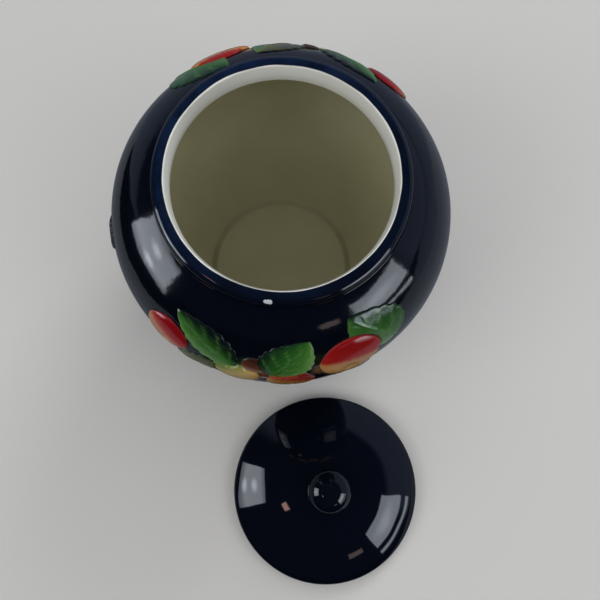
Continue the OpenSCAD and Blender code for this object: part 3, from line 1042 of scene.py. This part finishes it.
@dataclass
class Pear(Sprig):
    """A pear: a round body and a narrower neck that blend."""

    r: float = 13.0
    neck_r: float = 8.0
    neck: float = 12.0
    proud: float = 2.0

    def beyond(self, across: np.ndarray, along: np.ndarray) -> np.ndarray:
        """Distance outside the body and the neck."""
        body = np.hypot(across, along) - self.r
        neck = np.hypot(across, along - self.neck) - self.neck_r
        return np.minimum(body, neck)

    def lay_out(self, x: np.ndarray, y: np.ndarray) -> tuple[np.ndarray, np.ndarray, np.ndarray]:
        """Turn the square grid to the pear's outline, row by row."""
        low, high = -self.r, self.neck + self.neck_r
        along = low + (high - low) * (1 - np.cos((y + 1) / 2 * np.pi)) / 2
        body = np.sqrt(np.clip(self.r**2 - along**2, 0, None))
        neck = np.sqrt(np.clip(self.neck_r**2 - (along - self.neck) ** 2, 0, None))
        plan = np.stack([x * np.maximum(body, neck), along], axis=1)
        return plan, -self.beyond(plan[:, 0], plan[:, 1]), np.zeros(len(x))

    def relief(self, plan: np.ndarray, x: np.ndarray, y: np.ndarray, inset: np.ndarray) -> np.ndarray:
        """The higher of the two domes."""
        domes = []
        for r, centre in ((self.r, 0.0), (self.neck_r, self.neck)):
            dip = r**2 / (2 * self.wall.shoulder_arc)
            q = np.hypot(plan[:, 0], plan[:, 1] - centre) / r
            bow = np.sqrt(np.clip(1 - q * q, 0, None))
            domes.append(np.where(q < 1, self.proud * bow + dip * (bow - 1 + q * q), 0))
        return np.maximum(np.maximum(*domes), 0)

    def chart(self, plan: np.ndarray, x: np.ndarray, y: np.ndarray) -> np.ndarray:
        """UV place: the plan about the pear's middle."""
        middle = (self.neck + self.neck_r - self.r) / 2
        return np.stack([plan[:, 0] / self.r, (plan[:, 1] - middle) / (middle + self.r)], axis=1)


@dataclass
class Leaf(Sprig):
    """A serrated leaf with a raised midrib, side veins and soft edges."""

    length: float = 40.0
    width: float = 25.0
    thick: float = 1.0
    rib: float = 0.45  # height of the midrib above the blade, mm
    rib_reach: float = 0.75  # mm to each side
    vein_rise: float = 0.14  # mm
    tooth: float = 1.1  # depth of a tooth, mm
    teeth: int = 7
    veins: float = 4.5
    soft: float = 0.55  # mm over which the edge rises

    def half(self, s: np.ndarray) -> np.ndarray:
        """Half width at each share s of the length, with its teeth."""
        s = np.clip(s, 0, 1)
        blade = np.sin(np.pi * s**0.8).clip(0, 1) ** 0.75
        phase = (s * self.teeth - 0.5) % 1.0
        notch = np.where(phase < 0.35, phase / 0.35, (1 - phase) / 0.65)
        return blade * (self.width / 2 - self.tooth * smooth(0.15, 1.0, notch))

    def beyond(self, across: np.ndarray, along: np.ndarray) -> np.ndarray:
        """Distance outside the leaf's outline."""
        s = along / self.length + 0.5
        past = np.maximum(np.abs(along) - self.length / 2, 0)
        wide = np.abs(across) - self.half(s)
        return np.hypot(np.maximum(wide, 0), past) + np.minimum(wide, 0) * (past == 0)

    def lay_out(self, x: np.ndarray, y: np.ndarray) -> tuple[np.ndarray, np.ndarray, np.ndarray]:
        """Turn the square grid to the leaf's outline, row by row."""
        s = (y + 1) / 2
        half = self.half(s)
        plan = np.stack([x * half, self.length * (s - 0.5)], axis=1)
        inset = (1 - np.abs(x)) * half
        return plan, inset, self._vein(x, s)

    def _vein(self, x: np.ndarray, s: np.ndarray) -> np.ndarray:
        """Strength of the midrib and of the side veins, which run outwards and towards the tip."""
        out = np.abs(x)
        q = (s * self.veins - out**1.3 * 1.2 + 0.25 * (x > 0)) % 1.0
        side = np.exp(-(((q - 0.5) / 0.16) ** 2)) * smooth(0.0, 0.12, out) * (1 - smooth(0.7, 1.0, out))
        mid = np.exp(-((x / 0.09) ** 2)) * (1 - smooth(0.75, 1.0, s))
        return np.clip(np.maximum(side * smooth(0.05, 0.2, s) * (1 - smooth(0.8, 0.97, s)), mid), 0, 1)

    def relief(self, plan: np.ndarray, x: np.ndarray, y: np.ndarray, inset: np.ndarray) -> np.ndarray:
        """A soft-edged blade, raised a little along its veins and dished between them."""
        s = (y + 1) / 2
        vein = self._vein(x, s)
        mid = np.exp(-((plan[:, 0] / self.rib_reach) ** 2)) * (1 - smooth(0.7, 0.95, s))
        blade = (self.thick + self.vein_rise * vein) * (1 - 0.2 * x * x)
        ends = np.minimum(s, 1 - s) * self.length * 0.5
        return blade * (1 - np.exp(-np.minimum(inset, ends) / self.soft)) + self.rib * mid


# Each sprig comes after those that lie over it: kind, name, bearing in degrees, rise in mm, turn
# in degrees, the sprigs that lie over it, and its own sizes.
SPRIGS: tuple[tuple[type[Sprig], str, float, float, float, str, dict[str, object]], ...] = (
    (Fruit, "apple_right", 23.5, 22.5, 0, "", {"r": 18.5, "proud": 2.6, "dimple": (-0.1, -0.45)}),
    (Leaf, "leaf_middle", 2.5, 31, -36, "apple_right", {"length": 38, "width": 32, "rows": 141}),
    (Leaf, "leaf_left", -26.5, 33.5, 58, "leaf_middle", {"length": 46, "width": 26, "rows": 151}),
    (
        Leaf, "leaf_right", 34, 35, 34, "apple_right leaf_middle",
        {"length": 44, "width": 36, "rows": 151},
    ),
    (Fruit, "plum", -8.5, 26, 0, "leaf_middle leaf_left", {"r": 8, "proud": 2}),
    (Pear, "pear", -14.5, 11.5, 35, "leaf_middle leaf_left plum", {}),
    (
        Fruit, "peach", 3, 6.5, 0, "leaf_middle apple_right plum pear",
        {"r": 14, "proud": 2, "cleft": 0.5},
    ),
    (
        Fruit, "apple_left", -40.5, 20, 0, "leaf_left pear",
        {"r": 14.5, "proud": 2.6, "dimple": (0.1, -0.45)},
    ),
    (
        Leaf, "leaf_low_left", -29, 3, 128, "apple_left leaf_left pear",
        {"length": 38, "width": 20, "rows": 121},
    ),
    (
        Leaf, "leaf_low_right", 23, 3, -128, "apple_right peach leaf_middle leaf_right",
        {"length": 38, "width": 20, "rows": 121},
    ),
)


@dataclass
class Garland:
    """The fruit and leaves that one press mould gives, laid on one side of the jar."""

    side: Side
    paints: Mapping[str, SprigPaint]

    def sprigs(self) -> list[Sprig]:
        """Place every sprig, with those that lie over it.

        Returns:
            The sprigs of this side, in the order of their paints.
        """
        placed: dict[str, Sprig] = {}
        for kind, name, az, rise, turn, above, sizes in SPRIGS:
            over = [placed[other] for other in above.split()]
            placed[name] = kind(name, az, rise, self.paints[name], turn, over, **sizes)
        return [placed[name] for name in self.paints]

    def build(self, finishes: dict[str, Material]) -> list[Piece]:
        """Press and paint the whole garland and put it in the body "jar".

        Args:
            finishes: built paint materials by name, filled as they are needed.

        Returns:
            The new pieces.
        """
        made = []
        for sprig in self.sprigs():
            piece = sprig.build(self.side)
            paint = sprig.paint
            if paint.name not in finishes:
                finishes[paint.name] = paint.build()
            dress(piece, finishes[paint.name], 50)
            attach(piece, "jar")
            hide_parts(f"{self.side.name.lower()}_{sprig.node}")
            made.append(piece)
        return made


@dataclass
class SideLeaf:
    """The single small dark leaf on the left side of the jar."""

    paint: SprigPaint

    def build(self) -> list[Piece]:
        """Press and paint the leaf and put it in the body "jar".

        Returns:
            The one new piece.
        """
        leaf = Leaf("side_leaf", -81.5, 9.5, self.paint, 80, length=20, width=12, rows=81)
        piece = leaf.build(Side.FRONT)
        piece.name = "side_leaf_pressed"
        dress(piece, self.paint.build(), 50)
        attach(piece, "jar")
        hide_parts("side_leaf")
        return [piece]


# ---- studio --------------------------------------------------------------------------------


@dataclass(frozen=True)
class SoftBox:
    """One rectangular lamp; radiance in scene units, sizes and places in mm."""

    name: str
    place: tuple[float, float, float]
    aim: tuple[float, float, float]
    size: tuple[float, float]
    radiance: float
    mirrored: bool = True  # whether the glaze mirrors it
    lights: bool = True  # whether it lights matt surfaces
    tint: str = "FFFFFF"
    base: float = 0.72  # glow of the diffuser between its bulbs, as a share
    spots: tuple[tuple[float, float, float, float, float], ...] = ()  # u, v, width, height, gain

    def hang(self) -> None:
        """Hang the lamp; its bulbs show as brighter spots in the diffuser."""
        lamp = bpy.data.lights.new(self.name, "AREA")
        lamp.shape = "RECTANGLE"
        lamp.size, lamp.size_y = self.size[0] * MM, self.size[1] * MM
        lamp.energy = self.radiance * math.pi * lamp.size * lamp.size_y
        lamp.color = linear(self.tint)[:3]
        if self.spots:
            self._diffuser(lamp)
        holder = bpy.data.objects.new(self.name, lamp)
        bpy.context.scene.collection.objects.link(holder)
        here, there = Vector(self.place) * MM, Vector(self.aim) * MM
        holder.rotation_euler = (there - here).to_track_quat("-Z", "Y").to_euler()
        holder.location = here
        holder.visible_camera = False
        holder.visible_glossy = self.mirrored
        holder.visible_diffuse = self.lights

    def _diffuser(self, lamp: bpy.types.Light) -> None:
        """Make the diffuser uneven: brighter in front of each bulb, darker behind each glazing bar.

        Args:
            lamp: the lamp.
        """
        lamp.use_nodes = True
        tree = lamp.node_tree
        tree.nodes.clear()
        chart = add_node(tree, "NewGeometry", out="Parametric")
        total: Socket | float = self.base
        for u, v, width, height, gain in self.spots:
            offset = add_node(tree, "VectorMath", [chart, (u, v, 0.0)], operation="SUBTRACT")
            scaled = add_node(
                tree, "VectorMath", [offset, (1 / width, 1 / height, 0.0)], operation="MULTIPLY"
            )
            away = add_node(tree, "VectorMath", [scaled], out="Value", operation="LENGTH")
            spot = add_node(
                tree, "MapRange", [away, 0.0, 1.0, gain, 0.0], interpolation_type="SMOOTHERSTEP"
            )
            total = add_node(tree, "Math", [total, spot], operation="ADD")
        total = add_node(tree, "Math", [total, 0.0], operation="MAXIMUM")
        glow = add_node(tree, "Emission", {"Strength": total})
        add_node(tree, "OutputLight", [glow])


@dataclass
class Studio:
    """The pale table, the cards, the lamps, the room and the camera.

    The cards lie on the table, each with its name, its reach along X and Y in mm, its height in
    mm and its colour. Only the glaze mirrors them. The camera's place is in mm.
    """

    table: str = "C5C4C2"
    table_size: float = 8.0  # m
    backdrop: str = "C3C2C1"
    sky: str = "CCDAFF"
    room: float = 0.022  # glow of the room all round
    wall: float = 0.27  # what the paler wall adds to it
    wall_way: tuple[float, float, float] = (0.5, 0.87, 0.0)  # the way to that wall
    lens: float = 45.0
    sensor: float = 36.0
    camera: tuple[float, float, float] = (-1.108, -141.12, 571.69)
    camera_right: tuple[float, float, float] = (0.99961963, 0.0, 0.02757883)
    camera_up: tuple[float, float, float] = (-0.00549042, 0.97998308, 0.19900505)
    camera_back: tuple[float, float, float] = (-0.02702679, -0.19908078, 0.97961033)
    cards: tuple[tuple[str, Point, Point, float, str], ...] = (
        ("near_card", (-335, 60), (-260, 230), 0.4, "7A8088"),
        ("near_card_right", (60, 500), (-260, 230), 0.4, "868C96"),
        ("left_card", (-4000, -335), (-4000, 230), 2, "0A0A0A"),
        ("front_card", (-335, 4000), (-4000, -260), 2, "101010"),
        ("back_card", (-4000, 4000), (230, 4000), 2, "6E7688"),
        ("right_card", (500, 4000), (-260, 230), 2, "787F90"),
    )

    def build(self) -> None:
        """Make the table, the cards, the world, the lamps and the camera."""
        self._table()
        for card in self.cards:
            self._card(*card)
        self._world()
        for lamp in self.lamps():
            lamp.hang()
        self._camera()

    def lamps(self) -> list[SoftBox]:
        """Lay out two windows and two small lamps for the glaze, a fill and three keys.

        Returns:
            The lamps.
        """
        look = (0, -80, 100)
        return [
            SoftBox(
                "left_window", (-600, -158, 242), (0, -158, 242), (365, 366), 6.2, lights=False,
                tint="E6EEFA", spots=(
                    (0.52, 0.2, 0.24, 0.16, 0.8),
                    (0.5, 0.58, 0.24, 0.18, 0.8),
                    (0.5, 0.0, 9.0, 0.28, -0.4),
                    (0.5, 1.0, 9.0, 0.25, -0.3),
                ),
            ),
            SoftBox(
                "right_window", (566, -454, 226), (87, -310, 226), (451, 392), 5.2, lights=False,
                tint="E6EEFA", spots=(
                    (0.5, 0.2, 9.0, 0.12, -1.5),
                    (0.5, 0.6, 0.6, 0.3, 0.4),
                    (0.5, 0.0, 9.0, 0.08, -0.7),
                ),
            ),
            SoftBox(
                "warm_lamp", (-490, -450, 721), (0, -179, 33), (110, 70), 5.5, lights=False,
                tint="FFC8BE",
            ),
            SoftBox(
                "low_lamp", (420, -940, 320), (20, -150, 100), (190, 90), 1.2, lights=False,
                tint="FFE2DC",
            ),
            SoftBox("overhead_fill", (-50, 0, 4500), (-50, 0, 0), (9000, 9000), 1.05, mirrored=False),
            SoftBox("back_key", (900, 1500, 1400), look, (900, 900), 6.0, mirrored=False),
            SoftBox("left_key", (-1300, -700, 1400), look, (1000, 1000), 2.6, mirrored=False),
            SoftBox("right_key", (1300, -700, 1400), look, (1000, 1000), 1.3, mirrored=False),
        ]

    def _table(self) -> None:
        """Lay the matt pale table under the jar."""
        bpy.ops.object.select_all(action="DESELECT")
        bpy.ops.mesh.primitive_plane_add(size=self.table_size, location=(0, 0, 0))
        table = bpy.context.object
        table.name = "table_top"
        material, tree = new_material("matt_paper")
        shader = add_node(
            tree, "BsdfPrincipled", {"Base Color": linear(self.table), "Roughness": 0.85, "IOR": 1.4}
        )
        add_node(tree, "OutputMaterial", [shader])
        table.data.materials.append(material)

    def _card(self, name: str, across: Point, along: Point, height: float, tint: str) -> None:
        """Lay a toned card on the table, out of sight, that only the glaze mirrors.

        Args:
            name: the card's name.
            across: where it starts and ends along X, mm.
            along: where it starts and ends along Y, mm.
            height: its height above the table, mm.
            tint: its sRGB hex colour.
        """
        bpy.ops.object.select_all(action="DESELECT")
        middle = ((across[0] + across[1]) / 2 * MM, (along[0] + along[1]) / 2 * MM, height * MM)
        spread = ((across[1] - across[0]) * MM, (along[1] - along[0]) * MM, 1)
        bpy.ops.mesh.primitive_plane_add(size=1, location=middle)
        card = bpy.context.object
        card.name = name
        card.scale = spread
        bpy.ops.object.transform_apply(location=True, rotation=False, scale=True)
        material, tree = new_material(f"{name}_felt")
        shader = add_node(tree, "BsdfDiffuse", {"Color": linear(tint), "Roughness": 0.9})
        add_node(tree, "OutputMaterial", [shader])
        card.data.materials.append(material)
        card.visible_camera = False
        card.visible_diffuse = False
        card.visible_shadow = False

    def _world(self) -> None:
        """Light the room dimly, with a paler wall low down behind the jar and to its right."""
        world = bpy.data.worlds.new("room")
        bpy.context.scene.world = world
        world.use_nodes = True
        tree = world.node_tree
        tree.nodes.clear()
        way = add_node(tree, "TexCoord", out="Generated")
        rise = add_node(tree, "SeparateXYZ", [way], out="Z")
        towards = add_node(
            tree, "VectorMath", [way, self.wall_way], out="Value", operation="DOT_PRODUCT"
        )
        behind = add_node(tree, "MapRange", [towards, 0.1, 0.35], **SOFTLY)
        low = add_node(tree, "MapRange", [rise, 0.43, 0.54, 1.0, 0.0], **SOFTLY)
        wall = add_node(tree, "Math", [behind, low], operation="MULTIPLY")
        strength = add_node(tree, "Math", [wall, self.wall, self.room], operation="MULTIPLY_ADD")
        sky = add_node(tree, "Background", {"Color": linear(self.sky), "Strength": strength})
        # A low camera looks past the table's far edge at a pale backdrop, which lights nothing.
        seen = add_node(tree, "LightPath", out="Is Camera Ray")
        backdrop = add_node(tree, "Background", {"Color": linear(self.backdrop), "Strength": 1.0})
        shown = add_node(tree, "MixShader", [seen, sky, backdrop])
        add_node(tree, "OutputWorld", [shown])

    def _camera(self) -> None:
        """Set the camera above the jar and a little in front of it."""
        lens = bpy.data.cameras.new("camera")
        lens.lens, lens.sensor_width = self.lens, self.sensor
        camera = bpy.data.objects.new("camera", lens)
        bpy.context.scene.collection.objects.link(camera)
        turn = Matrix((self.camera_right, self.camera_up, self.camera_back)).transposed().to_4x4()
        camera.matrix_world = Matrix.Translation(Vector(self.camera) * MM) @ turn
        bpy.context.scene.camera = camera
        bpy.context.scene.view_settings.view_transform = "Standard"


# ---- build ---------------------------------------------------------------------------------


def sprig_paints() -> dict[str, SprigPaint]:
    """Choose the underglaze colours of every sprig.

    Returns:
        The paints by the name of the sprig that they go on.
    """
    return {
        "apple_left": SprigPaint(
            "apple_left_paint",
            ((0.2, "C99A78"), (0.45, "BE7C5C"), (0.6, "A03428"), (0.73, "8E0C14"), (0.95, "7C080F")),
            (0.45, 0.9), stroke_turn=25, creep=0.18, waver=0.1,
        ),
        "apple_right": SprigPaint(
            "apple_right_paint",
            ((0.05, "A87840"), (0.3, "BA8C50"), (0.46, "B2804A"), (0.56, "9E1C18"), (0.9, "860A0E")),
            (0.2, 0.95), stroke_turn=-20, creep=0.18, waver=0.1,
        ),
        "pear": SprigPaint(
            "pear_paint",
            ((0.12, "A88442"), (0.42, "BC9E5C"), (0.6, "98944E"), (0.72, "5E7A38"), (0.9, "3A6428")),
            stroke_turn=10, creep=0.18,
        ),
        "peach": SprigPaint(
            "peach_paint",
            ((0.08, "8A5A34"), (0.35, "A87C3C"), (0.55, "9C6A34"), (0.7, "8E3420"), (0.92, "6E1814")),
            (0.3, 0.95), stroke_turn=-15, creep=0.18,
        ),
        "plum": SprigPaint(
            "plum_paint",
            ((0.15, "96724A"), (0.45, "5E3422"), (0.85, "301C14")),
            (0.2, 0.95), creep=0.18,
        ),
        "leaf_left": SprigPaint(
            "leaf_left_paint",
            ((0.1, "5E8A46"), (0.3, "3C6E2C"), (0.54, "2C5A22"), (0.7, "1A381A"), (0.86, "0B1614")),
            (0.95, 0.1), vein="5E8A46", stroke_turn=20, waver=0.3,
        ),
        "leaf_middle": SprigPaint(
            "leaf_middle_paint",
            ((0.06, "10261A"), (0.24, "1E4A1C"), (0.5, "2E6222"), (0.75, "44762E"), (0.95, "6E9A56")),
            (0.95, 0.15), vein="5C8C48", stroke_turn=-20, waver=0.3,
        ),
        "leaf_right": SprigPaint(
            "leaf_right_paint",
            ((0.08, "7E9A6A"), (0.3, "446E34"), (0.55, "2C5C22"), (0.75, "1E461E"), (0.95, "12281A")),
            (0.75, 0.55), vein="5C8C48", stroke_turn=15, waver=0.3,
        ),
        "leaf_low_left": SprigPaint(
            "low_left_leaf_paint",
            ((0.2, "3E4A26"), (0.5, "5A6032"), (0.9, "7A7850")),
            vein="7E8052", stroke_turn=40, creep=0.4,
        ),
        "leaf_low_right": SprigPaint(
            "low_right_leaf_paint",
            ((0.2, "263018"), (0.55, "34421E"), (0.9, "566034")),
            vein="4E5E30", stroke_turn=40,
        ),
    }


def back_paints() -> dict[str, SprigPaint]:
    """Choose the colours that the back garland has instead of the front one's.

    Returns:
        The paints by the name of the sprig that they go on.
    """
    return {
        "apple_right": SprigPaint(
            "back_apple_right_paint",
            ((0.2, "B8782C"), (0.5, "C07E30"), (0.8, "BE7C30"), (0.87, "9A2418"), (0.97, "8A1214")),
            (0.1, 1.0), stroke_turn=-20, creep=0.18,
        ),
        "apple_left": SprigPaint(
            "back_apple_left_paint",
            ((0.2, "A8703A"), (0.55, "A0582E"), (0.68, "962C20"), (0.8, "8A1214"), (0.95, "7C0A10")),
            (0.35, 0.9), stroke_turn=25, creep=0.18,
        ),
        "leaf_middle": SprigPaint(
            "back_leaf_middle_paint",
            ((0.06, "3A3C26"), (0.3, "44482C"), (0.5, "56602E"), (0.75, "3E6A32"), (0.95, "4E7A40")),
            (0.95, 0.15), vein="6A7C40", stroke_turn=-20, waver=0.3,
        ),
    }


def main() -> None:
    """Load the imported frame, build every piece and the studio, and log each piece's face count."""
    logging.basicConfig(level=logging.INFO, format="%(name)s: %(message)s")
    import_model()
    steps = 192
    body_glaze = JarGlaze(
        "jar_glaze",
        roughness=0.09,
        ripple=0.11,
        # the cream inside is painted darker as shade below 191 mm
        painted_shade_z=191.0,
        chip=(-6.9, -67.1, 202.5),
        specks=((-26.6, 55.6, 199.0), (13.2, 60.9, 197.5)),
        washes=(
            (-11.0, 27, 8, "22301A"),
            (-5.3, 12, 9, "6E3A22"),
            # a dark green painted shadow beside the middle leaf's upper right
            (12, 30, 7, "18200F"),
            (14, 18, 9, "6A4C2C"),
            (-35, 8, 8, "6A6A44"),
            (-167.5, 40, 10, "A07428"),
            (-177, 38, 12, "70702F"),
            (171, 43, 10, "3C3E28"),
            (164, 41, 8, "3E4A2C"),
            (150, 34, 10, "5A3226"),
        ),
    )
    lid_glaze = JarGlaze("lid_glaze", foot_z=0.6, rim_along=-20)
    knob_glaze = JarGlaze("knob_glaze", lined=False, foot_z=-1.0, rim_along=-500)
    paints = sprig_paints()
    finishes: dict[str, Material] = {}
    builders: list[Callable[[], list[Piece]]] = [
        JarBody(body_glaze, steps).build,
        Lid(lid_glaze, knob_glaze, steps).build,
        lambda: Garland(Side.FRONT, paints).build(finishes),
        lambda: Garland(Side.BACK, {**paints, **back_paints()}).build(finishes),
        SideLeaf(
            SprigPaint("side_leaf_paint", ((0.2, "04070F"), (0.8, "0A1420")), vein="14243A")
        ).build,
    ]
    for build in builders:
        for piece in build():
            LOG.info("%s: %d faces", piece.name, len(piece.data.polygons))
    Studio().build()


if __name__ == "__main__":
    main()
